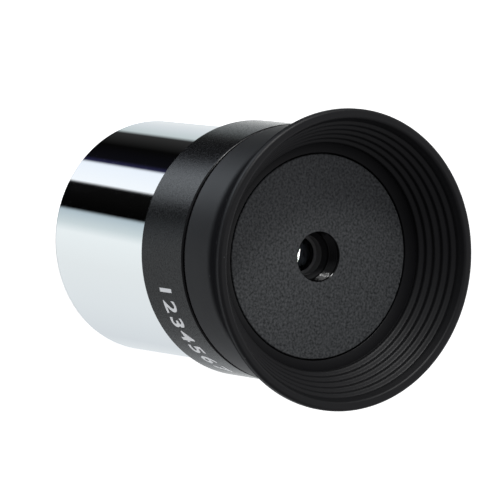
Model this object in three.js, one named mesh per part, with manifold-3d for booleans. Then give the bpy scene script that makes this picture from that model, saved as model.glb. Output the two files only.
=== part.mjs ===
// A telescope eyepiece for a 1.25 inch focuser: a chromed barrel, a black housing with its eye cap,
// a lens cell with two cemented pairs of lenses, and a rubber eyecup that turns and folds down.
//
// Millimetres. +Z is the optical axis and points towards the eye. The origin is the centre of the
// barrel's open end. Every piece is turned about +Z, so an outline is a list of [radius, height].

import * as THREE from 'three';
import { mergeVertices } from 'three/addons/utils/BufferGeometryUtils.js';
import Module from 'manifold-3d';

const wasm = await Module();
wasm.setup();

// ---------- driving dimensions ----------

const INCH = 25.4;
const OUTER_SEGMENTS = 48;   // sides of the barrel, housing, cap and eyecup
const INNER_SEGMENTS = 24;   // sides of the lens cell and of what is inside it
const PLAY = 0.1;            // space between pieces that sit face to face

// chromed barrel
const BARREL_R = 1.25 * INCH / 2;
const BARREL_LENGTH = 24.9;
const BARREL_BORE_R = 13.9;
const BARREL_EDGE = 0.3;
const BARREL_SEAT_DEPTH = 0.6;   // how far the full-width barrel goes into the housing
const FILTER_THREAD_R = 14.25;
const FILTER_THREAD_DEPTH = 4.8;
const SPIGOT_R = 14.6;
const SPIGOT_BORE_R = 13.3;
const SPIGOT_TOP = BARREL_LENGTH + 2.7;
const SPIGOT_TAPER_FOOT = 21.4;

// black housing
const HOUSING_R = 17.25;
const HOUSING_TOP = 35.45;
const HOUSING_BEVEL = 0.25;
const HOUSING_BORE_R = 14.75;
const BARREL_SEAT_R = BARREL_R + 0.12;
const CAP_THREAD_R = 14.2;
const SHOULDER_BORE_R = 12.6;
const SHOULDER_BOTTOM = 30.9;
const SHOULDER_TOP = 31.6;

// eye cap: the plate that the eye sees, a groove for the eyecup, and a threaded skirt
const PLATE_TOP = 41.7;
const PLATE_R = 13.62;
const PLATE_BEVEL = 0.12;
const EYE_HOLE_R = 3.35;
const EYE_HOLE_BOTTOM = 38.95;
const GROOVE_R = 12.5;
const GROOVE_TOP = 40.2;
const GROOVE_BOTTOM = 38.65;
const CAP_BODY_R = 14.65;
const SKIRT_R = CAP_THREAD_R - 0.15;
const SKIRT_BORE_R = 12.2;
const SKIRT_BOTTOM = SHOULDER_TOP + 0.2;
const CAP_WEB_BOTTOM = 36.6;
const CAP_CELL_BORE_R = 6.6;

// lens cell
const CELL_R = 6.4;
const CELL_TOP = EYE_HOLE_BOTTOM - 0.15;
const CELL_BOTTOM = 25.0;
const CELL_WINDOW_R = 2.65;
const CELL_WINDOW_CONE_R = 3.2;
const CELL_CONE_DEPTH = 0.55;
const CELL_LIP_BOTTOM = 36.95;
const LENS_BORE_R = 4.1;
const LENS_BORE_BOTTOM = 29.1;
const RING_BORE_R = 4.65;
const RING_BORE_BOTTOM = 26.8;
const STOP_BORE_R = 5.0;
const FLANGE_R = 14.3;
const FLANGE_TOP = SHOULDER_BOTTOM - PLAY;
const FLANGE_BOTTOM = 29.3;

// lenses: two cemented pairs, each with its flat flint outwards and its round crown inwards
const LENS_R = 3.9;
const EYE_PAIR_FLAT = 36.9;
const FIELD_PAIR_FLAT = 29.2;
const FLINT_CENTRE = 0.8;
const CEMENT_BOW_R = 6.0;
const CROWN_BOW_R = 8.0;
const CROWN_EDGE = 0.4;
const CEMENT_GAP = 0.04;
const LENS_ARC_STEPS = 4;
const SPACER_BORE_R = 3.5;
const SPACER_SLACK = 0.3;

// rings and the field stop
const LENS_RING_R = 4.55;
const LENS_RING_BORE_R = 3.3;
const LENS_RING_HEIGHT = 1.25;
const STOP_R = 4.9;
const STOP_APERTURE_R = 2.8;
const STOP_LAND_R = 3.4;
const STOP_THICKNESS = 0.6;
const STOP_EDGE = 0.1;
const STOP_RING_BORE_R = 4.1;
const STOP_RING_HEIGHT = 0.8;
const CELL_RING_R = 14.6;
const CELL_RING_BORE_R = 12.0;
const CELL_RING_HEIGHT = 1.45;
const SLOT_WIDTH = 1.0;
const SLOT_DEPTH = 0.5;

// rubber eyecup: a band on the cap, a flared wall with ribs inside, and a thick rim
const CUP_R = 17.3;
const CUP_BOTTOM = HOUSING_TOP + 0.2;
const CUP_BORE_R = CAP_BODY_R + 0.15;
const CUP_BEAD_R = GROOVE_R + 0.15;
const CUP_BEAD_BOTTOM = GROOVE_BOTTOM + 0.2;
const CUP_BEAD_TOP = GROOVE_TOP - 0.15;
const CUP_MOUTH_R = PLATE_R + 0.18;
const LEDGE_R = 14.97;
const LEDGE_Z = 42.28;
const RIB_COUNT = 5;
const RIB_PITCH = 0.99;
const RIB_RELIEF = 0.14;
const RIB_CLEARANCE = 0.2;   // no rib point lies closer to a joint of the cup than this
const FLARE_SLOPE = 0.633;   // radius gained per height, on both faces of the wall
const FOLD_Z = 43.5;         // height at which the wall folds over
const FLARE_FOOT = 41.3;     // where the band's straight side ends
const FLARE_START = 42.1;
const FLARE_START_R = 17.42;
const FLARE_ROUND = 0.25;    // how far the rounded flare stands off its straight line at the fold
const FLARE_ROUND_END = FOLD_Z + 1.5;
const RIM_JOIN_Z = 47.2;
const RIM_R = 19.95;
const RIM_TOP = 48.7;
const RIM_INNER_R = 18.75;
const RIM_THROAT_R = 18.35;  // just below the rim's inner edge
const RIM_THROAT_Z = 47.8;
const RIM_OUTER_ROUND = 0.6;
const RIM_INNER_ROUND = 0.2;
const RIM_ROUND_STEPS = 3;
const JOIN_GAP = 0.1;

// ---------- materials ----------

function standard(color, roughness, metalness) {
  return new THREE.MeshStandardMaterial({ color, roughness, metalness });
}

const chrome = () => standard(0xd7dbe0, 0.08, 1.0);
const blackAnodised = () => standard(0x26272a, 0.42, 0.6);
const blastedBlack = () => standard(0x34353a, 0.62, 0.4);
const mattBlack = () => standard(0x111113, 0.8, 0.2);
const darkBrass = () => standard(0x1c1a17, 0.7, 0.4);
const rubber = () => standard(0x1f2022, 0.78, 0.0);

function glass(color) {
  const material = standard(color, 0.03, 0.0);
  material.transparent = true;
  material.opacity = 0.4;
  return material;
}

// ---------- shape helpers ----------

// Positive when a closed outline of [radius, height] points runs anticlockwise.
function signedArea(outline) {
  let sum = 0;
  outline.forEach(([r, z], i) => {
    const [nextR, nextZ] = outline[(i + 1) % outline.length];
    sum += r * nextZ - nextR * z;
  });
  return sum / 2;
}

// Turns a closed outline about +Z. An outline that begins and ends on the axis makes a full solid.
function turned(outline, segments) {
  const ordered = signedArea(outline) > 0 ? [...outline] : [...outline].reverse();
  const onAxis = ordered.filter(([r]) => r === 0).length === 2;
  if (onAxis) {
    while (!(ordered[0][0] === 0 && ordered[ordered.length - 1][0] === 0)) {
      ordered.push(ordered.shift());
    }
  } else {
    ordered.push(ordered[0]);
  }
  const points = ordered.map(([r, z]) => new THREE.Vector2(r, z));
  const geometry = new THREE.LatheGeometry(points, segments);
  geometry.rotateX(Math.PI / 2);
  return geometry;
}

// Merged geometry with positions only, as a boolean solid.
function toManifold(geometry) {
  const bare = geometry.clone();
  bare.deleteAttribute('normal');
  bare.deleteAttribute('uv');
  const merged = mergeVertices(bare, 1e-5);
  const index = merged.index.array;
  const triangles = [];
  for (let i = 0; i < index.length; i += 3) {
    const [a, b, c] = [index[i], index[i + 1], index[i + 2]];
    if (a !== b && b !== c && c !== a) {
      triangles.push(a, b, c);
    }
  }
  const vertProperties = new Float32Array(merged.attributes.position.array);
  const triVerts = new Uint32Array(triangles);
  return new wasm.Manifold(new wasm.Mesh({ numProp: 3, vertProperties, triVerts }));
}

function fromManifold(solid) {
  const { vertProperties, triVerts, numProp } = solid.getMesh();
  const positions = [];
  for (let i = 0; i < vertProperties.length; i += numProp) {
    positions.push(vertProperties[i], vertProperties[i + 1], vertProperties[i + 2]);
  }
  const geometry = new THREE.BufferGeometry();
  geometry.setAttribute('position', new THREE.Float32BufferAttribute(positions, 3));
  geometry.setIndex([...triVerts]);
  geometry.computeVertexNormals();
  return geometry;
}

// A ring with two spanner slots across its lower face.
function slottedRing(innerR, outerR, bottom, height, segments) {
  const outline = [
    [innerR, bottom],
    [outerR, bottom],
    [outerR, bottom + height],
    [innerR, bottom + height],
  ];
  const cutter = new THREE.BoxGeometry(4 * outerR, SLOT_WIDTH, 2 * SLOT_DEPTH);
  cutter.rotateZ(Math.PI / segments);
  cutter.translate(0, 0, bottom);
  return fromManifold(toManifold(turned(outline, segments)).subtract(toManifold(cutter)));
}

// How far a ball's surface falls away from its top, at the distance r from the axis.
function sagitta(ballR, r) {
  return ballR - Math.sqrt(ballR * ballR - r * r);
}

// Points of a bowed lens face from the axis to the lens's edge.
// way is +1 where the edge is higher than the centre, and -1 where it is lower.
function lensFace(centreZ, ballR, way) {
  const points = [];
  for (let i = 0; i <= LENS_ARC_STEPS; i += 1) {
    const r = LENS_R * i / LENS_ARC_STEPS;
    points.push([r, centreZ + way * sagitta(ballR, r)]);
  }
  return points;
}

const scene = new THREE.Group();

function addPiece(group, name, geometry, material) {
  const mesh = new THREE.Mesh(geometry, material);
  mesh.name = name;
  group.add(mesh);
  return mesh;
}

// ---------- metal body ----------

const body = new THREE.Group();
scene.add(body);

function barrelOutline() {
  return [
    [FILTER_THREAD_R + BARREL_EDGE, 0],
    [BARREL_R - BARREL_EDGE, 0],
    [BARREL_R, BARREL_EDGE],
    [BARREL_R, BARREL_LENGTH + BARREL_SEAT_DEPTH - PLAY],
    [SPIGOT_R, BARREL_LENGTH + BARREL_SEAT_DEPTH - PLAY],
    [SPIGOT_R, SPIGOT_TOP],
    [SPIGOT_BORE_R, SPIGOT_TOP],
    [SPIGOT_BORE_R, SPIGOT_TAPER_FOOT + BARREL_BORE_R - SPIGOT_BORE_R],
    [BARREL_BORE_R, SPIGOT_TAPER_FOOT],
    [BARREL_BORE_R, FILTER_THREAD_DEPTH + FILTER_THREAD_R - BARREL_BORE_R],
    [FILTER_THREAD_R, FILTER_THREAD_DEPTH],
    [FILTER_THREAD_R, BARREL_EDGE],
  ];
}

function housingOutline() {
  return [
    [HOUSING_BORE_R, BARREL_LENGTH + BARREL_SEAT_DEPTH],
    [BARREL_SEAT_R, BARREL_LENGTH + BARREL_SEAT_DEPTH],
    [BARREL_SEAT_R, BARREL_LENGTH],
    [HOUSING_R - HOUSING_BEVEL, BARREL_LENGTH],
    [HOUSING_R, BARREL_LENGTH + HOUSING_BEVEL],
    [HOUSING_R, HOUSING_TOP - HOUSING_BEVEL],
    [HOUSING_R - HOUSING_BEVEL, HOUSING_TOP],
    [CAP_THREAD_R, HOUSING_TOP],
    [CAP_THREAD_R, SHOULDER_TOP],
    [SHOULDER_BORE_R, SHOULDER_TOP],
    [SHOULDER_BORE_R, SHOULDER_BOTTOM],
    [HOUSING_BORE_R, SHOULDER_BOTTOM],
  ];
}

function eyeCapOutline() {
  return [
    [EYE_HOLE_R, EYE_HOLE_BOTTOM],
    [EYE_HOLE_R, PLATE_TOP - PLATE_BEVEL],
    [EYE_HOLE_R + PLATE_BEVEL, PLATE_TOP],
    [PLATE_R - PLATE_BEVEL, PLATE_TOP],
    [PLATE_R, PLATE_TOP - PLATE_BEVEL],
    [PLATE_R, GROOVE_TOP],
    [GROOVE_R, GROOVE_TOP],
    [GROOVE_R, GROOVE_BOTTOM],
    [CAP_BODY_R, GROOVE_BOTTOM],
    [CAP_BODY_R, HOUSING_TOP + PLAY / 2],
    [SKIRT_R, HOUSING_TOP + PLAY / 2],
    [SKIRT_R, SKIRT_BOTTOM],
    [SKIRT_BORE_R, SKIRT_BOTTOM],
    [SKIRT_BORE_R, CAP_WEB_BOTTOM],
    [CAP_CELL_BORE_R, CAP_WEB_BOTTOM],
    [CAP_CELL_BORE_R, EYE_HOLE_BOTTOM],
  ];
}

addPiece(body, 'barrel', turned(barrelOutline(), OUTER_SEGMENTS), chrome());
addPiece(body, 'housing', turned(housingOutline(), OUTER_SEGMENTS), blackAnodised());
addPiece(body, 'eye_cap', turned(eyeCapOutline(), OUTER_SEGMENTS), blastedBlack());
addPiece(
  body,
  'cell_lock_ring',
  slottedRing(
    CELL_RING_BORE_R,
    CELL_RING_R,
    FLANGE_BOTTOM - PLAY - CELL_RING_HEIGHT,
    CELL_RING_HEIGHT,
    OUTER_SEGMENTS,
  ),
  mattBlack(),
);

// ---------- lens cell and glass ----------

const optics = new THREE.Group();
scene.add(optics);

function lensCellOutline() {
  return [
    [CELL_WINDOW_R, CELL_LIP_BOTTOM],
    [CELL_WINDOW_R, CELL_TOP - CELL_CONE_DEPTH],
    [CELL_WINDOW_CONE_R, CELL_TOP],
    [CELL_R, CELL_TOP],
    [CELL_R, FLANGE_TOP],
    [FLANGE_R, FLANGE_TOP],
    [FLANGE_R, FLANGE_BOTTOM],
    [CELL_R, FLANGE_BOTTOM],
    [CELL_R, CELL_BOTTOM],
    [STOP_BORE_R, CELL_BOTTOM],
    [STOP_BORE_R, RING_BORE_BOTTOM],
    [RING_BORE_R, RING_BORE_BOTTOM],
    [RING_BORE_R, LENS_BORE_BOTTOM],
    [LENS_BORE_R, LENS_BORE_BOTTOM],
    [LENS_BORE_R, CELL_LIP_BOTTOM],
  ];
}

// One cemented pair. outwards is +1 for the pair whose flat face looks at the eye, and -1 for the
// pair whose flat face looks down the barrel.
function addLensPair(prefix, flatZ, outwards) {
  const cementZ = flatZ - outwards * FLINT_CENTRE;
  const crownTopZ = cementZ - outwards * CEMENT_GAP;
  const crownEdgeZ = crownTopZ - outwards * (sagitta(CEMENT_BOW_R, LENS_R) + CROWN_EDGE);
  const crownFaceZ = crownEdgeZ - outwards * sagitta(CROWN_BOW_R, LENS_R);
  const flint = [
    [0, flatZ],
    [LENS_R, flatZ],
    ...lensFace(cementZ, CEMENT_BOW_R, -outwards).reverse(),
  ];
  const crown = [
    ...lensFace(crownTopZ, CEMENT_BOW_R, -outwards),
    ...lensFace(crownFaceZ, CROWN_BOW_R, outwards).reverse(),
  ];
  addPiece(optics, `${prefix}_flint`, turned(flint, INNER_SEGMENTS), glass(0xbfd0d8));
  addPiece(optics, `${prefix}_crown`, turned(crown, INNER_SEGMENTS), glass(0xd6e4e8));
  return crownEdgeZ;
}

addPiece(optics, 'lens_cell', turned(lensCellOutline(), INNER_SEGMENTS), mattBlack());
const eyeCrownEdge = addLensPair('eye_lens', EYE_PAIR_FLAT, 1);
const fieldCrownEdge = addLensPair('field_lens', FIELD_PAIR_FLAT, -1);

const spacerOutline = [
  [SPACER_BORE_R, fieldCrownEdge + SPACER_SLACK],
  [LENS_R, fieldCrownEdge + SPACER_SLACK],
  [LENS_R, eyeCrownEdge - SPACER_SLACK],
  [SPACER_BORE_R, eyeCrownEdge - SPACER_SLACK],
];
addPiece(optics, 'lens_spacer', turned(spacerOutline, INNER_SEGMENTS), darkBrass());

const lensRingBottom = FIELD_PAIR_FLAT - PLAY - LENS_RING_HEIGHT;
addPiece(
  optics,
  'lens_retaining_ring',
  slottedRing(LENS_RING_BORE_R, LENS_RING_R, lensRingBottom, LENS_RING_HEIGHT, INNER_SEGMENTS),
  mattBlack(),
);

const stopTop = RING_BORE_BOTTOM - PLAY;
const stopOutline = [
  [STOP_APERTURE_R, stopTop],
  [STOP_APERTURE_R, stopTop - STOP_EDGE],
  [STOP_LAND_R, stopTop - STOP_THICKNESS],
  [STOP_R, stopTop - STOP_THICKNESS],
  [STOP_R, stopTop],
];
addPiece(optics, 'field_stop', turned(stopOutline, INNER_SEGMENTS), mattBlack());

const stopRingBottom = stopTop - STOP_THICKNESS - PLAY - STOP_RING_HEIGHT;
addPiece(
  optics,
  'stop_lock_ring',
  slottedRing(STOP_RING_BORE_R, STOP_R, stopRingBottom, STOP_RING_HEIGHT, INNER_SEGMENTS),
  mattBlack(),
);

// ---------- rubber eyecup ----------

const eyecup = new THREE.Group();
scene.add(eyecup);
const eyecupRim = new THREE.Group();
eyecup.add(eyecupRim);

// The mean line of the ribbed inner face.
function innerR(z) {
  return LEDGE_R + FLARE_SLOPE * (z - LEDGE_Z);
}

// The outer face of the flare, from the line that ends at the rim.
function outerR(z) {
  return CUP_R + FLARE_SLOPE * (z - FOLD_Z);
}

// Rib crests and the grooves between them, from the ledge upwards.
function ribPoints() {
  const points = [];
  for (let i = 0; i < RIB_COUNT; i += 1) {
    const grooveZ = LEDGE_Z + i * RIB_PITCH;
    const crestZ = grooveZ + RIB_PITCH / 2;
    points.push([innerR(grooveZ) + RIB_RELIEF, grooveZ]);
    points.push([innerR(crestZ) - RIB_RELIEF, crestZ]);
  }
  return points;
}

const ribs = ribPoints();
const bandRibs = ribs.filter(([, z]) => z < FOLD_Z - RIB_CLEARANCE);
const wallRibs = ribs.filter(([, z]) => z > FOLD_Z + RIB_CLEARANCE && z < RIM_JOIN_Z - RIB_CLEARANCE);

const bandTop = FOLD_Z - JOIN_GAP / 2;
const bandOutline = [
  [CUP_BORE_R, CUP_BOTTOM],
  [CUP_R, CUP_BOTTOM],
  [CUP_R, FLARE_FOOT],
  [FLARE_START_R, FLARE_START],
  [outerR(bandTop) + FLARE_ROUND, bandTop],
  [innerR(bandTop), bandTop],
  ...[...bandRibs].reverse(),
  [CUP_MOUTH_R, PLATE_TOP],
  [CUP_MOUTH_R, CUP_BEAD_TOP],
  [CUP_BEAD_R, CUP_BEAD_TOP],
  [CUP_BEAD_R, CUP_BEAD_BOTTOM],
  [CUP_BORE_R, GROOVE_BOTTOM + PLAY],
];
addPiece(eyecup, 'eyecup_band', turned(bandOutline, OUTER_SEGMENTS), rubber());

const wallBottom = FOLD_Z + JOIN_GAP / 2;
const wallTop = RIM_JOIN_Z - JOIN_GAP / 2;
const wallOutline = [
  [innerR(wallBottom), wallBottom],
  [outerR(wallBottom) + FLARE_ROUND, wallBottom],
  [outerR(FLARE_ROUND_END), FLARE_ROUND_END],
  [outerR(wallTop), wallTop],
  [innerR(wallTop), wallTop],
  ...[...wallRibs].reverse(),
];
addPiece(eyecup, 'eyecup_wall', turned(wallOutline, OUTER_SEGMENTS), rubber());

// The quarter round between the rim's side and its top.
function rimRound() {
  const points = [];
  for (let i = 0; i <= RIM_ROUND_STEPS; i += 1) {
    const angle = Math.PI / 2 * i / RIM_ROUND_STEPS;
    points.push([
      RIM_R - RIM_OUTER_ROUND * (1 - Math.cos(angle)),
      RIM_TOP - RIM_OUTER_ROUND * (1 - Math.sin(angle)),
    ]);
  }
  return points;
}

const rimBottom = RIM_JOIN_Z + JOIN_GAP / 2;
const rimOutline = [
  [innerR(rimBottom), rimBottom],
  [outerR(rimBottom), rimBottom],
  [RIM_R, FOLD_Z + (RIM_R - CUP_R) / FLARE_SLOPE],
  ...rimRound(),
  [RIM_INNER_R + RIM_INNER_ROUND, RIM_TOP],
  [RIM_INNER_R, RIM_TOP - RIM_INNER_ROUND],
  [RIM_THROAT_R, RIM_THROAT_Z],
];
addPiece(eyecupRim, 'eyecup_rim', turned(rimOutline, OUTER_SEGMENTS), rubber());

export default scene;
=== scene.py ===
"""A telescope eyepiece: its fine surfaces, materials, light and camera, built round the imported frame.

Lengths in this file are millimetres unless a name or a comment says otherwise, and MM turns them
into metres. +Z is the optical axis and points towards the eye. An outline is a list of corners
(radius, height, fillet) in a half plane through that axis.
"""
import math

import bmesh
import bpy
from mathutils import Matrix, Quaternion, Vector


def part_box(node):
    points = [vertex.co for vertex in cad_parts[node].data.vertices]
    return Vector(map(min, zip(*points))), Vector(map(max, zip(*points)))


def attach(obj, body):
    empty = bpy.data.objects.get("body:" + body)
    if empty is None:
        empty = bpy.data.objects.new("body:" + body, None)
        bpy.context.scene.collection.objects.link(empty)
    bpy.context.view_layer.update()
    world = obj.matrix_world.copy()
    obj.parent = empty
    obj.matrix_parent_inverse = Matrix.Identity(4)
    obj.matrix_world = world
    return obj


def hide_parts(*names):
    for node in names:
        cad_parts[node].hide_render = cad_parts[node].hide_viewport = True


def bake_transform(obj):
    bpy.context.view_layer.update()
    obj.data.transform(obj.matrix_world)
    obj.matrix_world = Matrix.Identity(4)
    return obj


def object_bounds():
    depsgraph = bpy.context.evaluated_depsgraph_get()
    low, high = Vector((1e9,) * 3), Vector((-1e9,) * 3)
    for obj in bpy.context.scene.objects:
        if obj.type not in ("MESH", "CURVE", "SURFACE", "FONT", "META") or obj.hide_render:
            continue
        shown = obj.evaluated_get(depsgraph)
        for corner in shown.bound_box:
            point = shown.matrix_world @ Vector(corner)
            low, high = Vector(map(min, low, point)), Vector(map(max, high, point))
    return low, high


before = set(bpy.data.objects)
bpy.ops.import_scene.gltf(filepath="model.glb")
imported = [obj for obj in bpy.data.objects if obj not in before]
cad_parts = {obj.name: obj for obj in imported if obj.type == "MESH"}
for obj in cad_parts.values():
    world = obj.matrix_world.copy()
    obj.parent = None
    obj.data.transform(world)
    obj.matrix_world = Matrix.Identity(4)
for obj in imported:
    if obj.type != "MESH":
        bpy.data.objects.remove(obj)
CAD_LOW, CAD_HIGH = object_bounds()

MM = 0.001
SEGMENTS = 256               # round a body that shows
SMALL_SEGMENTS = 128         # round a lens, a ring or the lens cell
FILLET_STEPS = 5
FILLET_REACH = 0.49          # the share of a stretch that a fillet at its end may take

# Fillets that recur in the outlines.
SHARP = 0.0
HAIRLINE = 0.02
FINE = 0.03
BROKEN = 0.05
EASED = 0.1

# Below these a radius lies on the axis, a turn is straight and a stretch has no length.
ON_AXIS = 1e-6
STRAIGHT_RAD = 1e-4
NO_LENGTH = 1e-7

RING_DECIMALS = 5            # points that agree to this many decimals share a ring of vertices


# ---------- places that come from the frame ----------

def node_bottom(name):
    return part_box(name)[0][2] / MM


def node_top(name):
    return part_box(name)[1][2] / MM


def node_radius(name):
    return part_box(name)[1][0] / MM


BARREL_R = node_radius("barrel")
HOUSING_R = node_radius("housing")
HOUSING_BOTTOM = node_bottom("housing")
HOUSING_TOP = node_top("housing")
PLATE_TOP = node_top("eye_cap")
CELL_TOP = node_top("lens_cell")
CELL_BOTTOM = node_bottom("lens_cell")
CUP_BOTTOM = node_bottom("eyecup_band")
RIM_TOP = node_top("eyecup_rim")
RIM_R = node_radius("eyecup_rim")


def linked_object(name, data):
    made = bpy.data.objects.new(name, data)
    bpy.context.collection.objects.link(made)
    return made


# ---------- camera ----------

LENS_MM = 408.7
SENSOR_MM = 36.0
CLIP_START_M = 0.01
CLIP_END_M = 20.0
CAMERA_TILT = math.radians(57.424)    # how far the axis swings out of the picture plane
CAMERA_DIP = math.radians(3.990)      # how far the axis leans down to the right
BARREL_END_IN_VIEW = Vector((-13.332, -2.021, 785.41))   # right, down and forward of the camera


def make_camera():
    """Looks at the eyepiece from the eye's side, with the axis running to the right."""
    axis = Vector((
        math.cos(CAMERA_DIP) * math.cos(CAMERA_TILT),
        math.sin(CAMERA_DIP),
        -math.cos(CAMERA_DIP) * math.sin(CAMERA_TILT),
    ))
    to_camera = Vector((0, 0, -1))
    near = (to_camera - axis * axis.dot(to_camera)).normalized()
    x_seen = axis.cross(near)
    y_seen = -near
    seen = Matrix((x_seen, y_seen, axis)).transposed()
    unseen = seen.transposed()
    place = -(unseen @ BARREL_END_IN_VIEW) * MM
    right = unseen @ Vector((1, 0, 0))
    up = unseen @ Vector((0, -1, 0))
    back = unseen @ Vector((0, 0, -1))
    data = bpy.data.cameras.new("camera")
    data.sensor_width = SENSOR_MM
    data.lens = LENS_MM
    data.clip_start = CLIP_START_M
    data.clip_end = CLIP_END_M
    camera = linked_object("camera", data)
    turn = Matrix((right, up, back)).transposed().to_4x4()
    camera.matrix_world = Matrix.Translation(place) @ turn
    bpy.context.scene.camera = camera


make_camera()


# ---------- turned shapes ----------

def signed_area(corners):
    total = 0.0
    for i, (r, z, _) in enumerate(corners):
        next_r, next_z, _ = corners[(i + 1) % len(corners)]
        total += r * next_z - next_r * z
    return total / 2


def fillet_arc(before, corner, after, radius, steps):
    """Points and outward normals of the arc that rounds a corner of an anticlockwise outline."""
    arrive = (corner - before).normalized()
    leave = (after - corner).normalized()
    turn = arrive.x * leave.y - arrive.y * leave.x
    angle = math.atan2(turn, arrive.dot(leave))
    if radius <= 0 or abs(angle) < STRAIGHT_RAD:
        return []
    reach = radius * math.tan(abs(angle) / 2)
    limit = FILLET_REACH * min((corner - before).length, (after - corner).length)
    if reach > limit:
        radius *= limit / reach
        reach = limit
    start = corner - arrive * reach
    outward = Vector((arrive.y, -arrive.x))
    side = 1 if turn > 0 else -1
    centre = start - outward * side * radius
    arc = []
    for i in range(steps + 1):
        swing = angle * i / steps
        normal = Vector((
            outward.x * math.cos(swing) - outward.y * math.sin(swing),
            outward.x * math.sin(swing) + outward.y * math.cos(swing),
        ))
        arc.append((centre + normal * side * radius, normal))
    return arc


def facets_of(corners, steps):
    """The outline as stretches (point, normal, point, normal) with true normals at both ends."""
    if signed_area(corners) < 0:
        corners = corners[::-1]
    flat = [Vector((r, z)) for r, z, _ in corners]
    count = len(flat)
    arcs = []
    for i, corner in enumerate(flat):
        arcs.append(fillet_arc(flat[i - 1], corner, flat[(i + 1) % count], corners[i][2], steps))
    facets = []
    for i, arc in enumerate(arcs):
        for (start, start_normal), (end, end_normal) in zip(arc, arc[1:]):
            facets.append((start, start_normal, end, end_normal))
        following = arcs[(i + 1) % count]
        start = arc[-1][0] if arc else flat[i]
        end = following[0][0] if following else flat[(i + 1) % count]
        way = end - start
        if way.length > NO_LENGTH:
            normal = Vector((way.y, -way.x)).normalized()
            facets.append((start, normal, end, normal))
    return facets


def spun(point, place, segments):
    """A point (radius, height) turned round the axis to one of a ring's places."""
    angle = 2 * math.pi * place / segments
    return (point.x * math.cos(angle), point.x * math.sin(angle), point.y)


def turned(name, corners, segments=SEGMENTS, steps=FILLET_STEPS):
    """A body of revolution with exact shading normals. An edge on the axis is left out."""
    vertices = []
    rings = {}

    def ring(point):
        """The numbers of the vertices on a point's ring. On the axis they are one and the same."""
        key = (round(point.x, RING_DECIMALS), round(point.y, RING_DECIMALS))
        if key not in rings:
            first = len(vertices)
            copies = 1 if point.x < ON_AXIS else segments
            for place in range(copies):
                vertices.append(tuple(value * MM for value in spun(point, place, segments)))
            rings[key] = [first + place % copies for place in range(segments)]
        return rings[key]

    faces = []
    normals = []
    for start, start_normal, end, end_normal in facets_of(corners, steps):
        if max(start.x, end.x) <= ON_AXIS:
            continue
        low = ring(start)
        high = ring(end)
        for j in range(segments):
            k = (j + 1) % segments
            spots = [
                (low, j, start_normal),
                (low, k, start_normal),
                (high, k, end_normal),
                (high, j, end_normal),
            ]
            if start.x < ON_AXIS:
                del spots[1]
            elif end.x < ON_AXIS:
                del spots[2]
            faces.append([numbers[place] for numbers, place, _ in spots])
            normals += [spun(normal, place, segments) for _, place, normal in spots]
    mesh = bpy.data.meshes.new(name)
    mesh.from_pydata(vertices, [], faces)
    mesh.polygons.foreach_set("use_smooth", [True] * len(faces))
    mesh.normals_split_custom_set(normals)
    mesh.validate(clean_customdata=False)
    return linked_object(name, mesh)


def finish_piece(piece, material, slot, body, *nodes):
    piece.data.materials.append(material)
    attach(piece, body)
    if nodes:
        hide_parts(*nodes)


def paint(piece, material, inside):
    """Gives another material to the faces whose centre (radius, height) passes the test."""
    piece.data.materials.append(material)
    index = len(piece.data.materials) - 1
    for polygon in piece.data.polygons:
        x, y, z = polygon.center / MM
        if inside(math.hypot(x, y), z):
            polygon.material_index = index


# ---------- materials ----------
# Noise scales count features per metre. A bump's distance is in millimetres.

class Surface:
    """A Principled material and short ways to add nodes to it."""

    def __init__(self, name, roughness=0.5, metallic=0.0):
        self.material = bpy.data.materials.new(name)
        self.material.use_nodes = True
        self.nodes = self.material.node_tree.nodes
        self.links = self.material.node_tree.links
        self.shader = self.nodes["Principled BSDF"]
        self.place = self.nodes.new("ShaderNodeTexCoord").outputs["Object"]
        self.set("Roughness", roughness)
        self.set("Metallic", metallic)

    def set(self, name, value):
        self.shader.inputs[name].default_value = value

    def drive(self, name, output):
        """Lets a node's output set one of the shader's inputs."""
        self.links.new(output, self.shader.inputs[name])

    def noise(self, scale, detail=3.0):
        node = self.nodes.new("ShaderNodeTexNoise")
        node.inputs["Scale"].default_value = scale
        node.inputs["Detail"].default_value = detail
        self.links.new(self.place, node.inputs["Vector"])
        return node.outputs["Fac"]

    def between(self, value, low, high, when_low=0.0, when_high=1.0):
        """Runs from low to high as the value runs from when_low to when_high."""
        node = self.nodes.new("ShaderNodeMapRange")
        node.inputs["From Min"].default_value = when_low
        node.inputs["From Max"].default_value = when_high
        node.inputs["To Min"].default_value = low
        node.inputs["To Max"].default_value = high
        self.links.new(value, node.inputs["Value"])
        return node.outputs["Result"]

    def mottle(self, factor, first, second):
        """Lets the colour wander between two."""
        node = self.nodes.new("ShaderNodeMix")
        node.data_type = "RGBA"
        node.inputs["A"].default_value = (*first, 1)
        node.inputs["B"].default_value = (*second, 1)
        self.links.new(factor, node.inputs["Factor"])
        self.drive("Base Color", node.outputs["Result"])

    def bump(self, height, strength, distance):
        node = self.nodes.new("ShaderNodeBump")
        node.inputs["Strength"].default_value = strength
        node.inputs["Distance"].default_value = distance * MM
        self.links.new(height, node.inputs["Height"])
        self.drive("Normal", node.outputs["Normal"])


def chrome():
    """Bright plate over a turned tube: nearly a mirror, with a trace of waviness and fine haze."""
    s = Surface("chrome_plate", metallic=1.0)
    s.set("Base Color", (0.93, 0.945, 0.955, 1))
    s.drive("Roughness", s.between(s.noise(900.0), 0.008, 0.025, when_low=0.35, when_high=0.7))
    s.bump(s.noise(450.0, detail=2.0), strength=0.03, distance=0.01)
    return s.material


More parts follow.
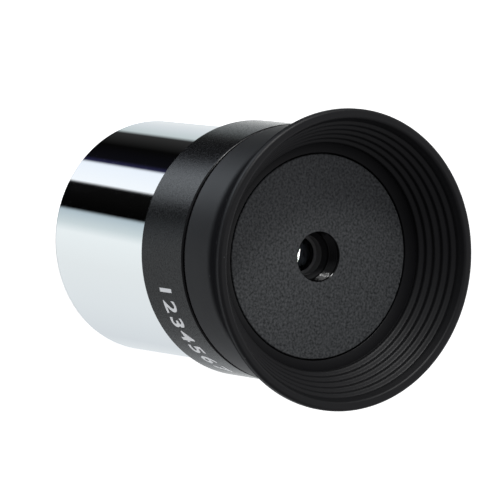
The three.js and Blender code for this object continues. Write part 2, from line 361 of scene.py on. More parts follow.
def anodised():
    """Black anodised aluminium with a fine satin grain."""
    s = Surface("black_anodised")
    s.set("IOR", 1.45)
    s.mottle(s.noise(2600.0, detail=2.0), (0.001, 0.001, 0.001), (0.009, 0.009, 0.010))
    s.drive("Roughness", s.between(s.noise(3200.0), 0.17, 0.31, when_low=0.3, when_high=0.7))
    s.bump(s.noise(4200.0, detail=2.0), strength=0.4, distance=0.02)
    return s.material


def blasted():
    """Bead-blasted and anodised face: matt, with lighter grains and tiny pits."""
    s = Surface("blasted_black", roughness=0.55)
    grain = s.between(s.noise(3000.0, detail=2.0), 0.0, 1.0, when_low=0.3, when_high=0.7)
    s.mottle(grain, (0.025, 0.028, 0.029), (0.134, 0.140, 0.143))
    s.bump(s.noise(3600.0), strength=0.9, distance=0.05)
    return s.material


def gloss_black():
    """Polished and blackened wall of the eye hole."""
    s = Surface("gloss_black")
    s.set("Base Color", (0.003, 0.003, 0.003, 1))
    s.set("IOR", 1.40)
    s.drive("Roughness", s.between(s.noise(900.0), 0.05, 0.18))
    s.bump(s.noise(1100.0, detail=2.0), strength=0.5, distance=0.07)
    return s.material


def satin_black():
    """Dyed and lightly rubbed metal of the lens cell."""
    s = Surface("satin_black", roughness=0.35)
    s.mottle(s.noise(1500.0), (0.010, 0.010, 0.010), (0.022, 0.022, 0.021))
    s.bump(s.noise(3000.0), strength=0.2, distance=0.02)
    return s.material


def turned_grey():
    """Freshly turned metal under a thin dye: the bore just above the eye lens."""
    s = Surface("turned_grey", roughness=0.45)
    s.mottle(s.noise(700.0), (0.22, 0.22, 0.22), (0.34, 0.34, 0.33))
    return s.material


def matt_paint():
    """Paint that swallows stray light inside the tubes."""
    s = Surface("matt_black_paint", roughness=0.7)
    s.mottle(s.noise(1500.0), (0.008, 0.008, 0.009), (0.018, 0.018, 0.019))
    s.bump(s.noise(3000.0), strength=0.3, distance=0.03)
    return s.material


def dark_brass():
    """Chemically blackened brass."""
    s = Surface("dark_brass", roughness=0.55, metallic=0.4)
    s.mottle(s.noise(900.0), (0.014, 0.012, 0.010), (0.035, 0.028, 0.020))
    return s.material


def rubber():
    """Moulded rubber: very dark, satin, slightly uneven, with a few specks of dust.

    Where the mesh carries the painted-shade attribute, the sheen goes away: painted shade on the outer
    face of the flare, in place of the shadow that falls there.
    """
    s = Surface("black_rubber")
    s.set("IOR", 1.50)
    specks = s.between(s.noise(1500.0, detail=1.0), 0.0, 1.0, when_low=0.80, when_high=0.84)
    s.mottle(specks, (0.006, 0.006, 0.007), (0.16, 0.16, 0.17))
    s.drive("Roughness", s.between(s.noise(300.0, detail=4.0), 0.44, 0.50))
    s.bump(s.noise(2400.0), strength=0.3, distance=0.03)
    # Painted shade: the sheen fades out where the mesh's attribute says, on the flare's outer face.
    shade_attribute = s.nodes.new("ShaderNodeAttribute")
    shade_attribute.attribute_name = "painted_shade"
    s.drive("Specular IOR Level", s.between(shade_attribute.outputs["Fac"], 0.5, 0.04))
    return s.material


def coated_glass():
    s = Surface("coated_glass", roughness=0.0)
    s.mottle(s.noise(40.0), (0.94, 0.97, 1.0), (0.95, 0.98, 1.0))
    s.set("Transmission Weight", 1.0)
    s.set("IOR", 1.6)
    return s.material


def white_ink():
    s = Surface("white_ink", roughness=0.4)
    s.mottle(s.noise(1200.0), (0.90, 0.91, 0.92), (0.95, 0.96, 0.97))
    return s.material


CHROME = chrome()
ANODISED = anodised()
BLASTED = blasted()
GLOSS = gloss_black()
SATIN = satin_black()
TURNED = turned_grey()
MATT = matt_paint()
DARK_BRASS = dark_brass()
RUBBER = rubber()
GLASS = coated_glass()
INK = white_ink()


# ---------- barrel ----------

THREAD_PITCH = 0.6
THREAD_TURNS = 7
THREAD_CREST_R = 13.95
THREAD_ROOT_R = 14.25
THREAD_START = 0.55
THREAD_TOP = THREAD_START + THREAD_TURNS * THREAD_PITCH
THREAD_RUNOUT = 5.1
THREAD_RUNOUT_CONE = 0.3
THREAD_SHIFT = THREAD_PITCH / 4      # the zigzag lies this far below its nominal ends
BORE_R = 13.9
MOUTH_LAND_R = 14.6
MOUTH_ROUND = 0.28
SPIGOT_R = 14.6
SPIGOT_BORE_R = 13.3
SPIGOT_TOP = node_top("barrel")
SPIGOT_ROUND = 0.2
SEAT_DEPTH = 0.6
SEAT_GAP = 0.1
SEAT_TOP = HOUSING_BOTTOM + SEAT_DEPTH - SEAT_GAP
TAPER_FOOT = 21.4
TAPER_ROUND = 0.5
PAINT_REACH = 0.05                   # a face this little outside the thread's root is still painted


def barrel_corners():
    corners = [
        (BARREL_R, 0.0, MOUTH_ROUND),
        (BARREL_R, SEAT_TOP, BROKEN),
        (SPIGOT_R, SEAT_TOP, SHARP),
        (SPIGOT_R, SPIGOT_TOP, SPIGOT_ROUND),
        (SPIGOT_BORE_R, SPIGOT_TOP, SPIGOT_ROUND),
        (SPIGOT_BORE_R, TAPER_FOOT + BORE_R - SPIGOT_BORE_R, TAPER_ROUND),
        (BORE_R, TAPER_FOOT, TAPER_ROUND),
        (BORE_R, THREAD_RUNOUT, EASED),
        (THREAD_ROOT_R, THREAD_RUNOUT - THREAD_RUNOUT_CONE, BROKEN),
    ]
    for i in range(THREAD_TURNS):
        z = THREAD_TOP - THREAD_SHIFT - i * THREAD_PITCH
        corners.append((THREAD_ROOT_R, z, FINE))
        corners.append((THREAD_CREST_R, z - THREAD_PITCH / 2, FINE))
    corners.append((THREAD_ROOT_R, THREAD_START - THREAD_SHIFT, FINE))
    corners.append((MOUTH_LAND_R, 0.0, FINE))
    return corners


def make_barrel():
    barrel = turned("barrel_shell", barrel_corners())
    finish_piece(barrel, CHROME, "chromed_barrel", "body", "barrel")
    paint(barrel, MATT, lambda r, z: r < THREAD_ROOT_R + PAINT_REACH and z > THREAD_TOP)


make_barrel()


# ---------- housing and cap ----------

HOUSING_FOOT_ROUND = 0.22
HOUSING_TOP_ROUND = 0.32
REBATE_R = 14.9              # a shallow step round the housing's top makes the gap below the cup
REBATE_DEPTH = 0.25
HOUSING_BORE_R = 14.75
CAP_THREAD_R = 14.2
SHOULDER_R = 12.6
SHOULDER_BOTTOM = 30.9
SHOULDER_TOP = 31.6
SEAT_R = BARREL_R + 0.12     # room round the barrel in the housing's mouth

PLATE_R = 13.62
PLATE_ROUND = 0.15
GROOVE_R = 12.5
GROOVE_BOTTOM = 38.65
GROOVE_TOP = 40.2
CAP_BODY_R = 14.65
CAP_FOOT = HOUSING_TOP + 0.05
SKIRT_R = 14.05
SKIRT_BOTTOM = SHOULDER_TOP + 0.2
SKIRT_BORE_R = 12.2
WEB_BOTTOM = 36.6
WEB_ROUND = 0.3
CELL_BORE_R = 6.6

HOLE_R = 3.25
HOLE_BOTTOM = CELL_TOP + 0.15
HOLE_CHAMFER = 0.1
BAFFLE_COUNT = 5
BAFFLE_PITCH = 0.44
BAFFLE_DEPTH = 0.175
BAFFLE_FLANK = 0.15          # height of a groove's upward-facing flank
BAFFLE_LAND = 0.35           # plain wall above the uppermost groove


def housing_corners():
    return [
        (HOUSING_R, HOUSING_BOTTOM, HOUSING_FOOT_ROUND),
        (HOUSING_R, HOUSING_TOP - REBATE_DEPTH, HOUSING_TOP_ROUND),
        (REBATE_R, HOUSING_TOP - REBATE_DEPTH, BROKEN),
        (REBATE_R, HOUSING_TOP, BROKEN),
        (CAP_THREAD_R, HOUSING_TOP, BROKEN),
        (CAP_THREAD_R, SHOULDER_TOP, SHARP),
        (SHOULDER_R, SHOULDER_TOP, EASED),
        (SHOULDER_R, SHOULDER_BOTTOM, EASED),
        (HOUSING_BORE_R, SHOULDER_BOTTOM, SHARP),
        (HOUSING_BORE_R, HOUSING_BOTTOM + SEAT_DEPTH, SHARP),
        (SEAT_R, HOUSING_BOTTOM + SEAT_DEPTH, SHARP),
        (SEAT_R, HOUSING_BOTTOM, EASED),
    ]


def hole_corners():
    """The eye hole's wall from the bottom up, with the fine grooves that stop stray light."""
    corners = [(HOLE_R, HOLE_BOTTOM, BROKEN)]
    top = PLATE_TOP - BAFFLE_LAND
    for i in range(BAFFLE_COUNT, 0, -1):
        z = top - i * BAFFLE_PITCH
        corners.append((HOLE_R, z, FINE))
        corners.append((HOLE_R + BAFFLE_DEPTH, z + BAFFLE_FLANK, FINE))
    corners.append((HOLE_R, top, FINE))
    corners.append((HOLE_R, PLATE_TOP - HOLE_CHAMFER, FINE))
    corners.append((HOLE_R + HOLE_CHAMFER, PLATE_TOP, FINE))
    return corners


def cap_corners():
    return hole_corners() + [
        (PLATE_R, PLATE_TOP, PLATE_ROUND),
        (PLATE_R, GROOVE_TOP, EASED),
        (GROOVE_R, GROOVE_TOP, EASED),
        (GROOVE_R, GROOVE_BOTTOM, EASED),
        (CAP_BODY_R, GROOVE_BOTTOM, EASED),
        (CAP_BODY_R, CAP_FOOT, BROKEN),
        (SKIRT_R, CAP_FOOT, SHARP),
        (SKIRT_R, SKIRT_BOTTOM, EASED),
        (SKIRT_BORE_R, SKIRT_BOTTOM, EASED),
        (SKIRT_BORE_R, WEB_BOTTOM, WEB_ROUND),
        (CELL_BORE_R, WEB_BOTTOM, EASED),
        (CELL_BORE_R, HOLE_BOTTOM, SHARP),
    ]


def make_housing_and_cap():
    housing = turned("housing_shell", housing_corners())
    finish_piece(housing, ANODISED, "black_anodised", "body", "housing")
    cap = turned("eye_cap_shell", cap_corners())
    finish_piece(cap, BLASTED, "blasted_black", "body", "eye_cap")
    paint(cap, GLOSS, lambda r, z: r < HOLE_R + BAFFLE_DEPTH and z > HOLE_BOTTOM)


make_housing_and_cap()


# ---------- numerals on the housing ----------

NUMERALS = "1234567"
NUMERAL_FIRST_DEG = 24.0     # counted from the camera's side, anticlockwise seen from the eye
NUMERAL_PITCH_DEG = 8.0
NUMERAL_MIDDLE_Z = 30.0
NUMERAL_FONT_SIZE = 4.0
NUMERAL_BOLDER = 0.08
NUMERAL_CURVE_STEPS = 6
NUMERAL_THICKNESS = 0.03
NUMERAL_LIFT = NUMERAL_THICKNESS / 4     # leaves a quarter of the thickness in the housing
NUMERAL_SLICE = 0.3          # width of the upright slices that let a numeral follow the cylinder
NUMERAL_MERGE = 1e-4         # points closer than this are one point
NUMERAL_SLIVER = 2e-3        # faces narrower than this are dissolved


def flat_numeral(text):
    """The outline of one numeral as a flat plate, centred, in millimetres."""
    curve = bpy.data.curves.new("numeral", "FONT")
    curve.body = text
    curve.size = NUMERAL_FONT_SIZE
    curve.offset = NUMERAL_BOLDER
    curve.extrude = NUMERAL_THICKNESS / 2
    curve.align_x = "CENTER"
    curve.align_y = "CENTER"
    curve.resolution_u = NUMERAL_CURVE_STEPS
    holder = linked_object("numeral", curve)
    depsgraph = bpy.context.evaluated_depsgraph_get()
    mesh = bpy.data.meshes.new_from_object(holder.evaluated_get(depsgraph))
    bpy.data.objects.remove(holder)
    bpy.data.curves.remove(curve)
    return mesh


def sliced_numeral(text):
    """The flat plate cut into upright slices, so that it can bend."""
    plate = bmesh.new()
    mesh = flat_numeral(text)
    plate.from_mesh(mesh)
    bpy.data.meshes.remove(mesh)
    bmesh.ops.remove_doubles(plate, verts=plate.verts, dist=NUMERAL_MERGE)
    slices = int(NUMERAL_FONT_SIZE / NUMERAL_SLICE)
    for k in range(-slices, slices + 1):
        bmesh.ops.bisect_plane(
            plate,
            geom=plate.verts[:] + plate.edges[:] + plate.faces[:],
            plane_co=(k * NUMERAL_SLICE, 0, 0),
            plane_no=(1, 0, 0),
        )
    bmesh.ops.dissolve_degenerate(plate, dist=NUMERAL_SLIVER, edges=plate.edges[:])
    return plate


def wrap_round_housing(plate, middle_deg):
    middle = math.radians(middle_deg)
    for vertex in plate.verts:
        x, y, z = vertex.co
        angle = middle + x / HOUSING_R
        r = HOUSING_R + z + NUMERAL_LIFT
        height = NUMERAL_MIDDLE_Z + y
        vertex.co = Vector((r * math.sin(angle), -r * math.cos(angle), height)) * MM


def make_numerals():
    whole = bmesh.new()
    for i, digit in enumerate(NUMERALS):
        plate = sliced_numeral(digit)
        wrap_round_housing(plate, NUMERAL_FIRST_DEG + i * NUMERAL_PITCH_DEG)
        wrapped = bpy.data.meshes.new("wrapped")
        plate.to_mesh(wrapped)
        plate.free()
        whole.from_mesh(wrapped)
        bpy.data.meshes.remove(wrapped)
    bmesh.ops.recalc_face_normals(whole, faces=whole.faces)
    mesh = bpy.data.meshes.new("housing_numerals")
    whole.to_mesh(mesh)
    whole.free()
    piece = linked_object("housing_numerals", mesh)
    finish_piece(piece, INK, "white_ink", "body")


make_numerals()


# ---------- lens cell, lenses and rings ----------

LIP_R = 2.28
LIP_BOTTOM = 36.95
LIP_TOP = LIP_BOTTOM + 0.15
LIP_ROUND = 0.06
WINDOW_R = 2.68
CONE_R = 3.2                 # the window opens in a cone
CONE_FOOT = CELL_TOP - 0.55
CONE_ROUND = 0.12
CELL_R = 6.4
CELL_MOUTH_ROUND = 0.15
CELL_SKIN = 0.1              # the paint in the bore stays this far inside the cell's outer face
WINDOW_SKIN = 0.02           # the bare metal reaches this far behind the window's wall
FLANGE_R = 14.3
FLANGE_TOP = SHOULDER_BOTTOM - 0.1
FLANGE_BOTTOM = 29.3
FLANGE_ROUND = 0.3
STOP_BORE_R = 5.0
RING_BORE_R = 4.65
RING_BORE_BOTTOM = 26.8
LENS_BORE_R = 4.1
LENS_BORE_BOTTOM = 29.1

LENS_R = 3.9
LENS_BEVEL = 0.08
LENS_ARC_STEPS = 24
CEMENT_BOW_R = 6.0
CROWN_BOW_R = 8.0

SPACER_BORE_R = 3.5
STOP_HOLE_R = 2.8
STOP_EDGE = 0.1              # height of the field stop's edge, above its cone
STOP_CONE_R = 3.4

# A slotted ring's bore radius, and the steps in each half turn between its slots.
SLOTTED_RINGS = {
    "lens_retaining_ring": (3.3, 48),
    "stop_lock_ring": (4.1, 48),
    "cell_lock_ring": (12.0, 96),
}
SLOT_WIDTH = 1.0
SLOT_DEPTH = 0.5
RING_BEVEL = 0.08
RING_BEVEL_STEPS = 2
RING_MERGE_M = 1e-7


def cell_corners():
    return [
        (LIP_R, LIP_BOTTOM, HAIRLINE),
        (LIP_R, LIP_TOP, LIP_ROUND),
        (WINDOW_R, LIP_TOP, HAIRLINE),
        (WINDOW_R, CONE_FOOT, CONE_ROUND),
        (CONE_R, CELL_TOP, BROKEN),
        (CELL_R, CELL_TOP, EASED),
        (CELL_R, FLANGE_TOP, EASED),
        (FLANGE_R, FLANGE_TOP, EASED),
        (FLANGE_R, FLANGE_BOTTOM, EASED),
        (CELL_R, FLANGE_BOTTOM, FLANGE_ROUND),
        (CELL_R, CELL_BOTTOM, CELL_MOUTH_ROUND),
        (STOP_BORE_R, CELL_BOTTOM, CELL_MOUTH_ROUND),
        (STOP_BORE_R, RING_BORE_BOTTOM, SHARP),
        (RING_BORE_R, RING_BORE_BOTTOM, SHARP),
        (RING_BORE_R, LENS_BORE_BOTTOM, SHARP),
        (LENS_BORE_R, LENS_BORE_BOTTOM, SHARP),
        (LENS_BORE_R, LIP_BOTTOM, SHARP),
    ]


def make_cell():
    """Satin outside, matt paint in the bore and bare turned metal in the window over the lens."""
    cell = turned("lens_cell_tube", cell_corners(), SMALL_SEGMENTS)
    finish_piece(cell, SATIN, "matt_black", "body", "lens_cell")
    paint(cell, MATT, lambda r, z: r < CELL_R - CELL_SKIN and z > LIP_BOTTOM)
    paint(cell, TURNED, lambda r, z: r < WINDOW_R + WINDOW_SKIN and z > LIP_BOTTOM)


def sagitta(ball_r, r):
    return ball_r - math.sqrt(ball_r * ball_r - r * r)


def bowed_face(centre_z, ball_r, way):
    """Corners of a bowed lens face, from the axis to the edge. way is +1 where the edge is higher."""
    corners = []
    for i in range(LENS_ARC_STEPS + 1):
        r = LENS_R * i / LENS_ARC_STEPS
        corners.append((r, centre_z + way * sagitta(ball_r, r), SHARP))
    return corners


def make_lens(node, corners):
    lens = turned(node + "_ground", corners, SMALL_SEGMENTS)
    finish_piece(lens, GLASS, "coated_glass", "body", node)


def make_flint(node, outwards):
    """The flat side looks outwards (+1 is towards the eye), and the hollow side takes the crown."""
    flat_z = node_top(node) if outwards > 0 else node_bottom(node)
    inner_z = node_bottom(node) if outwards > 0 else node_top(node)
    cement_z = inner_z + outwards * sagitta(CEMENT_BOW_R, LENS_R)
    corners = [(0.0, flat_z, SHARP), (LENS_R, flat_z, LENS_BEVEL)]
    corners += bowed_face(cement_z, CEMENT_BOW_R, -outwards)[::-1]
    make_lens(node, corners)


def make_crown(node, outwards):
    """The outward side is cemented into the flint's hollow, and the other side faces the spacer."""
    cement_z = node_top(node) if outwards > 0 else node_bottom(node)
    face_z = node_bottom(node) if outwards > 0 else node_top(node)
    corners = bowed_face(cement_z, CEMENT_BOW_R, -outwards)
    corners += bowed_face(face_z, CROWN_BOW_R, outwards)[::-1]
    make_lens(node, corners)


def make_spacer():
    low = node_bottom("lens_spacer")
    high = node_top("lens_spacer")
    corners = [
        (SPACER_BORE_R, low, EASED),
        (LENS_R, low, EASED),
        (LENS_R, high, EASED),
        (SPACER_BORE_R, high, EASED),
    ]
    spacer = turned("lens_spacer_tube", corners, SMALL_SEGMENTS)
    finish_piece(spacer, DARK_BRASS, "blackened_brass", "body", "lens_spacer")


def make_field_stop():
    low = node_bottom("field_stop")
    high = node_top("field_stop")
    outer_r = node_radius("field_stop")
    corners = [
        (STOP_HOLE_R, high, SHARP),
        (STOP_HOLE_R, high - STOP_EDGE, SHARP),
        (STOP_CONE_R, low, BROKEN),
        (outer_r, low, BROKEN),
        (outer_r, high, BROKEN),
    ]
    stop = turned("field_stop_plate", corners, SMALL_SEGMENTS)
    finish_piece(stop, MATT, "matt_black", "body", "field_stop")


def ring_stations(bore_r, outer_r, foot, steps):
    """Places round a ring: the angle inside, the angle outside and the foot, which a slot raises."""
    inner_edge = math.asin(SLOT_WIDTH / 2 / bore_r)
    outer_edge = math.asin(SLOT_WIDTH / 2 / outer_r)
    slot_foot = foot + SLOT_DEPTH
    stations = []
    for half_turn in (0.0, math.pi):
        land = []
        for i in range(steps + 1):
            share = i / steps
            inner = half_turn + inner_edge + (math.pi - 2 * inner_edge) * share
            outer = half_turn + outer_edge + (math.pi - 2 * outer_edge) * share
            land.append((inner, outer, foot))
        stations.append((*land[0][:2], slot_foot))
        stations += land
        stations.append((*land[-1][:2], slot_foot))
    return stations


def make_slotted_ring(node, bore_r, steps):
    """A ring with two spanner slots across its lower face and softened edges."""
    outer_r = node_radius(node)
    high = node_top(node)
    mesh = bmesh.new()
    columns = []
    for inner, outer, foot in ring_stations(bore_r, outer_r, node_bottom(node), steps):
        spots = (
            (bore_r, inner, foot),
            (outer_r, outer, foot),
            (outer_r, outer, high),
            (bore_r, inner, high),
        )
        columns.append([
            mesh.verts.new((r * math.cos(angle) * MM, r * math.sin(angle) * MM, z * MM))
            for r, angle, z in spots
        ])
    for first, second in zip(columns, columns[1:] + columns[:1]):
        for i in range(len(first)):
            k = (i + 1) % len(first)
            mesh.faces.new((first[i], first[k], second[k], second[i]))
    bmesh.ops.remove_doubles(mesh, verts=mesh.verts, dist=RING_MERGE_M)
    bmesh.ops.dissolve_degenerate(mesh, dist=RING_MERGE_M, edges=mesh.edges[:])
    bmesh.ops.recalc_face_normals(mesh, faces=mesh.faces)
    name = node + "_cut"
    data = bpy.data.meshes.new(name)
    mesh.to_mesh(data)
    mesh.free()
    ring = linked_object(name, data)
    bevel = ring.modifiers.new("edges", "BEVEL")
    bevel.width = RING_BEVEL * MM
    bevel.segments = RING_BEVEL_STEPS
    bevel.limit_method = "ANGLE"
    finish_piece(ring, MATT, "matt_black", "body", node)


make_cell()
make_flint("eye_lens_flint", 1)
make_crown("eye_lens_crown", 1)
make_crown("field_lens_crown", -1)
make_flint("field_lens_flint", -1)
make_spacer()
make_field_stop()
for ring_node, ring_facts in SLOTTED_RINGS.items():
    make_slotted_ring(ring_node, *ring_facts)


# ---------- eyecup ----------

CUP_R = 17.3
CUP_BORE_R = 14.8
CUP_BOTTOM_ROUND = 0.45
CUP_FILLET_STEPS = 10
FLARE_SLOPE = 0.633          # radius gained per height, on both faces of the wall
FLARE_ROUND = 7.5
FOLD_Z = 43.5
RIM_FOOT_ROUND = 0.4
RIM_OUTER_ROUND = 0.58
RIM_INNER_R = 18.75
RIM_INNER_ROUND = 0.45
RIM_THROAT_R = 18.30
RIM_THROAT_Z = 47.7
RIM_THROAT_ROUND = 1.0
LEDGE_R = 14.97
LEDGE_Z = 42.28
RIB_COUNT = 5
RIB_PITCH = 0.99
RIB_RELIEF = 0.14
RIB_STEPS = 16
RIB_CREST_SHARE = 0.64       # where in the pitch a rib's crest lies
MOUTH_R = 13.8
BEAD_R = 12.65
BEAD_BOTTOM = 38.85
BEAD_TOP = 40.05
BEAD_CONE = 0.1
SHADE_FROM_Z = (41.0, 42.7)   # the outer face of the flare gets painted shade (its sheen taken away), which fades in here
SHADE_UNTIL_Z = (47.9, 48.5)  # and fades out here
INNER_FACE_DEPTH = 1.0       # what lies this close behind the inner face keeps its sheen


def inner_r(z):
    return LEDGE_R + FLARE_SLOPE * (z - LEDGE_Z)


def rib_relief(share):
    """Depth of the wave at a share of its pitch: a long flank up to the crest, a short one after it."""
    if share < RIB_CREST_SHARE:
        phase = 0.5 * share / RIB_CREST_SHARE
    else:
        phase = 0.5 + 0.5 * (share - RIB_CREST_SHARE) / (1 - RIB_CREST_SHARE)
    return RIB_RELIEF * math.cos(2 * math.pi * phase)


def cup_corners():
    corners = [
        (CUP_BORE_R, CUP_BOTTOM, EASED),
        (CUP_R, CUP_BOTTOM, CUP_BOTTOM_ROUND),
        (CUP_R, FOLD_Z, FLARE_ROUND),
        (RIM_R, FOLD_Z + (RIM_R - CUP_R) / FLARE_SLOPE, RIM_FOOT_ROUND),
        (RIM_R, RIM_TOP, RIM_OUTER_ROUND),
        (RIM_INNER_R, RIM_TOP, RIM_INNER_ROUND),
        (RIM_THROAT_R, RIM_THROAT_Z, RIM_THROAT_ROUND),
    ]
    for i in range(RIB_COUNT * RIB_STEPS, -1, -1):
        z = LEDGE_Z + RIB_PITCH * i / RIB_STEPS
        corners.append((inner_r(z) + rib_relief(i / RIB_STEPS % 1.0), z, SHARP))
    corners += [
        (MOUTH_R, PLATE_TOP, EASED),
        (MOUTH_R, BEAD_TOP, EASED),
        (BEAD_R, BEAD_TOP, EASED),
        (BEAD_R, BEAD_BOTTOM, EASED),
        (CUP_BORE_R, BEAD_BOTTOM - BEAD_CONE, EASED),
    ]
    return corners


def soft_step(value, low, high):
    share = min(1.0, max(0.0, (value - low) / (high - low)))
    return share * share * (3 - 2 * share)


def painted_shade(r, z):
    """The share of painted shade on the rubber: 1 on the outer face of the flare and 0 elsewhere, with
    soft ends.
    """
    if z > LEDGE_Z and r < inner_r(z) + INNER_FACE_DEPTH:
        return 0.0
    return soft_step(z, *SHADE_FROM_Z) * (1 - soft_step(z, *SHADE_UNTIL_Z))


def make_eyecup():
    """One rubber piece in place of the cup's band, wall and rim."""
    cup = turned("eyecup_rubber", cup_corners(), SEGMENTS, CUP_FILLET_STEPS)
    cup.data.materials.append(RUBBER)
    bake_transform(cup)
    # Painted shade: each vertex carries its share, which takes the sheen off the flare's outer face.
    shade_shares = []
    for vertex in cup.data.vertices:
        x, y, z = vertex.co / MM
        shade_shares.append(painted_shade(math.hypot(x, y), z))
    shade_attribute = cup.data.attributes.new("painted_shade", "FLOAT", "POINT")
    shade_attribute.data.foreach_set("value", shade_shares)
    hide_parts("eyecup_band", "eyecup_wall", "eyecup_rim")


make_eyecup()


# ---------- surroundings ----------

# The studio round the eyepiece, as (degrees round the axis, colour). Degrees are counted from the
# camera's side and grow anticlockwise, seen from the eye. MIRROR_ROUND is the narrow belt that the
# bright barrel mirrors to the camera, LOW_ROUND is the rest of what lies below the horizon, which
# gives the satin walls their sheen, and HIGH_ROUND is what lies above the horizon.
MIRROR_ROUND = [
    (-180, (0.80, 0.84, 0.86)),
    (-160, (0.78, 0.82, 0.84)),
    (-140, (0.67, 0.72, 0.75)),
    (-124, (0.55, 0.62, 0.63)),
    (-118, (0.03, 0.03, 0.03)),
    (-95, (0.002, 0.002, 0.002)),
    (-75, (0.004, 0.004, 0.006)),
    (-70, (0.02, 0.02, 0.06)),
    (-67, (0.88, 0.94, 1.02)),
    (-45, (0.96, 1.00, 1.04)),
    (-42, (0.004, 0.004, 0.004)),
    (-15, (0.001, 0.001, 0.001)),
    (-12, (0.45, 0.54, 0.59)),
    (0, (0.62, 0.70, 0.72)),
    (9, (0.86, 0.91, 0.92)),
    (40, (0.80, 0.84, 0.85)),
    (80, (0.76, 0.80, 0.82)),
    (130, (0.68, 0.72, 0.75)),
    (180, (0.80, 0.84, 0.86)),
]
LOW_ROUND = [
    (-180, (2.10, 2.12, 2.10)),
    (-155, (2.10, 2.12, 2.10)),
    (-135, (0.80, 0.82, 0.80)),
    (-118, (0.12, 0.12, 0.12)),
    (-95, (0.003, 0.003, 0.003)),
    (-75, (0.01, 0.01, 0.01)),
    (-66, (1.20, 1.30, 1.45)),
    (-56, (2.40, 2.60, 2.80)),
    (-36, (2.40, 2.60, 2.80)),
    (-26, (0.05, 0.05, 0.05)),
    (-18, (0.01, 0.01, 0.01)),
    (-4, (0.66, 0.70, 0.76)),
    (10, (0.85, 0.88, 0.92)),
    (45, (0.80, 0.83, 0.87)),
    (80, (0.70, 0.72, 0.76)),
    (110, (0.84, 0.86, 0.89)),
    (135, (1.20, 1.22, 1.24)),
    (155, (2.10, 2.12, 2.10)),
    (180, (2.10, 2.12, 2.10)),
]
HIGH_ROUND = [
    (-180, (0.40, 0.40, 0.42)),
    (-115, (0.22, 0.22, 0.23)),
    (-35, (0.30, 0.31, 0.33)),
    (-5, (0.11, 0.11, 0.12)),
    (90, (0.18, 0.18, 0.19)),
    (180, (0.40, 0.40, 0.42)),
]
BELT_DEG = -58.7             # height of the mirrored belt
BELT_HALF_DEG = 1.4          # half its width, and then its soft edge
BELT_EDGE_DEG = 1.4
BELT_SHEAR = 6.5             # degrees round for each degree up: the stripes run slightly aslant
HORIZON_BLEND_DEG = (-35, -8)
DARK_CONE_LEAN_DEG = 5.0     # straight below lies darkness, a cone that leans away from the key side
DARK_CONE_DEG = (28, 35)     # its unlit core and the start of the fully lit surroundings
DARK_CONE_COLOR = (0.01, 0.01, 0.01)
BACKDROP_COLOR = (1.0, 1.0, 1.0)


class Sky:
    """The world's node tree: a direction becomes a brightness."""

    def __init__(self, name):
        self.world = bpy.data.worlds.new(name)
        self.world.use_nodes = True
        self.nodes = self.world.node_tree.nodes
        self.links = self.world.node_tree.links
        self.nodes.clear()
        direction = self.nodes.new("ShaderNodeTexCoord").outputs["Generated"]
        self.split = self.nodes.new("ShaderNodeSeparateXYZ")
        self.links.new(direction, self.split.inputs["Vector"])
        towards_camera = self.compute("MULTIPLY", self.split.outputs["Y"], -1.0)
        self.angle = self.compute("ARCTAN2", self.split.outputs["X"], towards_camera)
        self.height = self.compute("ARCSINE", self.split.outputs["Z"])

    def compute(self, operation, first, second=None):
        """A maths node. The second value is a number, a socket or left out."""
        node = self.nodes.new("ShaderNodeMath")
        node.operation = operation
        self.links.new(first, node.inputs[0])
        if isinstance(second, float):
            node.inputs[1].default_value = second
        elif second is not None:
            self.links.new(second, node.inputs[1])
        return node.outputs["Value"]

    def remap(self, value, low, high, smooth=False):
        """Runs from 0 to 1 as the value runs from low to high."""
        node = self.nodes.new("ShaderNodeMapRange")
        if smooth:
            node.interpolation_type = "SMOOTHSTEP"
        node.inputs["From Min"].default_value = low
        node.inputs["From Max"].default_value = high
        self.links.new(value, node.inputs["Value"])
        return node.outputs["Result"]

    def smooth_degrees(self, angle, low_deg, high_deg):
        return self.remap(angle, math.radians(low_deg), math.radians(high_deg), smooth=True)

    def cone_angle(self, lean_degrees):
        """The angle between a direction and an axis that points down and leans towards +X."""
        lean = math.radians(lean_degrees)
        across = self.compute("MULTIPLY", self.split.outputs["X"], math.sin(lean))
        down = self.compute("MULTIPLY", self.split.outputs["Z"], math.cos(lean))
        return self.compute("ARCCOSINE", self.compute("SUBTRACT", across, down))

    def panorama(self, angle, stops):
        """The colours of a list of stops, by the angle round the axis."""
        node = self.nodes.new("ShaderNodeValToRGB")
        self.links.new(self.remap(angle, -math.pi, math.pi), node.inputs["Fac"])
        elements = node.color_ramp.elements
        while len(elements) < len(stops):
            elements.new(0.5)
        for element, (degrees, color) in zip(elements, stops):
            element.position = (degrees + 180) / 360
            element.color = (*color, 1)
        return node.outputs["Color"]

    def mixed(self, factor, first, second):
        """A mix of two colours, each a socket or three numbers."""
        node = self.nodes.new("ShaderNodeMix")
        node.data_type = "RGBA"
        self.links.new(factor, node.inputs["Factor"])
        for socket, value in (("A", first), ("B", second)):
            if isinstance(value, tuple):
                node.inputs[socket].default_value = (*value, 1)
            else:
                self.links.new(value, node.inputs[socket])
        return node.outputs["Result"]


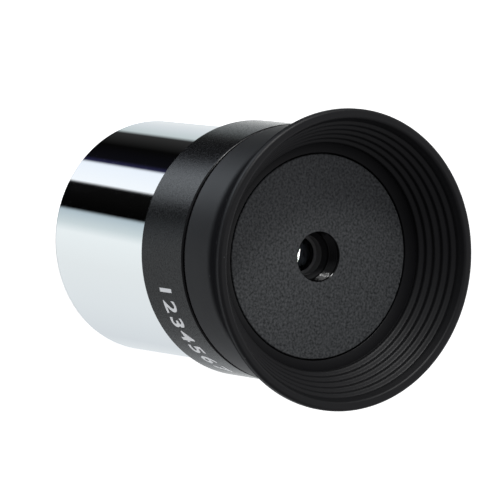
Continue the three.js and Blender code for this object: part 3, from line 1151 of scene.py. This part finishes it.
def make_world():
    sky = Sky("studio")
    bpy.context.scene.world = sky.world
    above_belt = sky.compute("SUBTRACT", sky.height, math.radians(BELT_DEG))
    slide = sky.compute("MULTIPLY", above_belt, -BELT_SHEAR)
    belt_angle = sky.compute("ADD", sky.angle, slide)
    distance = sky.compute("ABSOLUTE", above_belt)
    in_belt = sky.smooth_degrees(distance, BELT_HALF_DEG + BELT_EDGE_DEG, BELT_HALF_DEG)
    up = sky.smooth_degrees(sky.height, *HORIZON_BLEND_DEG)
    lit = sky.smooth_degrees(sky.cone_angle(DARK_CONE_LEAN_DEG), *DARK_CONE_DEG)
    walls = sky.mixed(up, sky.panorama(sky.angle, LOW_ROUND), sky.panorama(sky.angle, HIGH_ROUND))
    studio = sky.mixed(lit, DARK_CONE_COLOR, walls)
    studio = sky.mixed(in_belt, studio, sky.panorama(belt_angle, MIRROR_ROUND))
    camera_ray = sky.nodes.new("ShaderNodeLightPath").outputs["Is Camera Ray"]
    shown = sky.mixed(camera_ray, studio, BACKDROP_COLOR)
    background = sky.nodes.new("ShaderNodeBackground")
    sky.links.new(shown, background.inputs["Color"])
    output = sky.nodes.new("ShaderNodeOutputWorld")
    sky.links.new(background.outputs["Background"], output.inputs["Surface"])


make_world()


# ---------- lamps ----------

# Shape, degrees round, degrees up, distance, width and height in metres, roll, radiance.
LAMPS = {
    "key_lamp": ("RECTANGLE", -68, 27, 0.5, 0.10, 0.06, 0, 32.0),
    "soft_lamp": ("RECTANGLE", -84, 27, 0.5, 0.36, 0.14, 0, 2.5),
    "far_lamp": ("RECTANGLE", 180, 21, 0.5, 0.30, 0.06, 0, 2.2),
    "lens_lamp": ("ELLIPSE", 179.78, 56.39, 0.6, 0.0095, 0.0024, -8, 30.0),
    "ink_lamp": ("RECTANGLE", 45, -8, 0.5, 0.30, 0.30, 0, 2.6),
}
UNMIRRORED_LAMPS = ("ink_lamp",)     # lifts the white numerals and leaves the polished surfaces alone


def make_lamp(name, shape, degrees_round, degrees_up, distance, width, height, roll, radiance):
    """An area lamp aimed at the middle of the plate; its size and radiance set its power."""
    area = width * height * (math.pi / 4 if shape == "ELLIPSE" else 1)
    data = bpy.data.lights.new(name, "AREA")
    data.shape = shape
    data.size = width
    data.size_y = height
    data.energy = radiance * math.pi * area
    lamp = linked_object(name, data)
    round_angle = math.radians(degrees_round)
    up_angle = math.radians(degrees_up)
    direction = Vector((
        math.sin(round_angle) * math.cos(up_angle),
        -math.cos(round_angle) * math.cos(up_angle),
        math.sin(up_angle),
    ))
    turn = direction.to_track_quat("Z", "Y") @ Quaternion((0, 0, 1), math.radians(roll))
    lamp.location = Vector((0, 0, PLATE_TOP * MM)) + direction * distance
    lamp.rotation_mode = "QUATERNION"
    lamp.rotation_quaternion = turn
    lamp.visible_camera = False
    lamp.visible_glossy = name not in UNMIRRORED_LAMPS


for lamp_name, lamp_facts in LAMPS.items():
    make_lamp(lamp_name, *lamp_facts)


# ---------- floor ----------

FLOOR_HALF_M = 3.0
FLOOR_GAP_M = 0.0001
FLOOR_GLOW = 0.85


def make_floor():
    """A pale floor that only the camera sees, so that it takes no part in the lighting."""
    s = Surface("white_floor", roughness=0.9)
    s.set("Emission Color", (1, 1, 1, 1))
    s.set("Emission Strength", FLOOR_GLOW)
    s.mottle(s.noise(3.0), (0.88, 0.88, 0.88), (0.92, 0.92, 0.92))
    low = CAD_LOW.z - FLOOR_GAP_M
    turns = ((-1, -1), (1, -1), (1, 1), (-1, 1))
    corners = [(x * FLOOR_HALF_M, y * FLOOR_HALF_M, low) for x, y in turns]
    mesh = bpy.data.meshes.new("floor")
    mesh.from_pydata(corners, [], [(0, 1, 2, 3)])
    mesh.materials.append(s.material)
    floor = linked_object("floor", mesh)
    floor.visible_glossy = False
    floor.visible_diffuse = False
    floor.visible_shadow = False
    floor.visible_transmission = False


make_floor()
bpy.context.scene.view_settings.view_transform = "Standard"
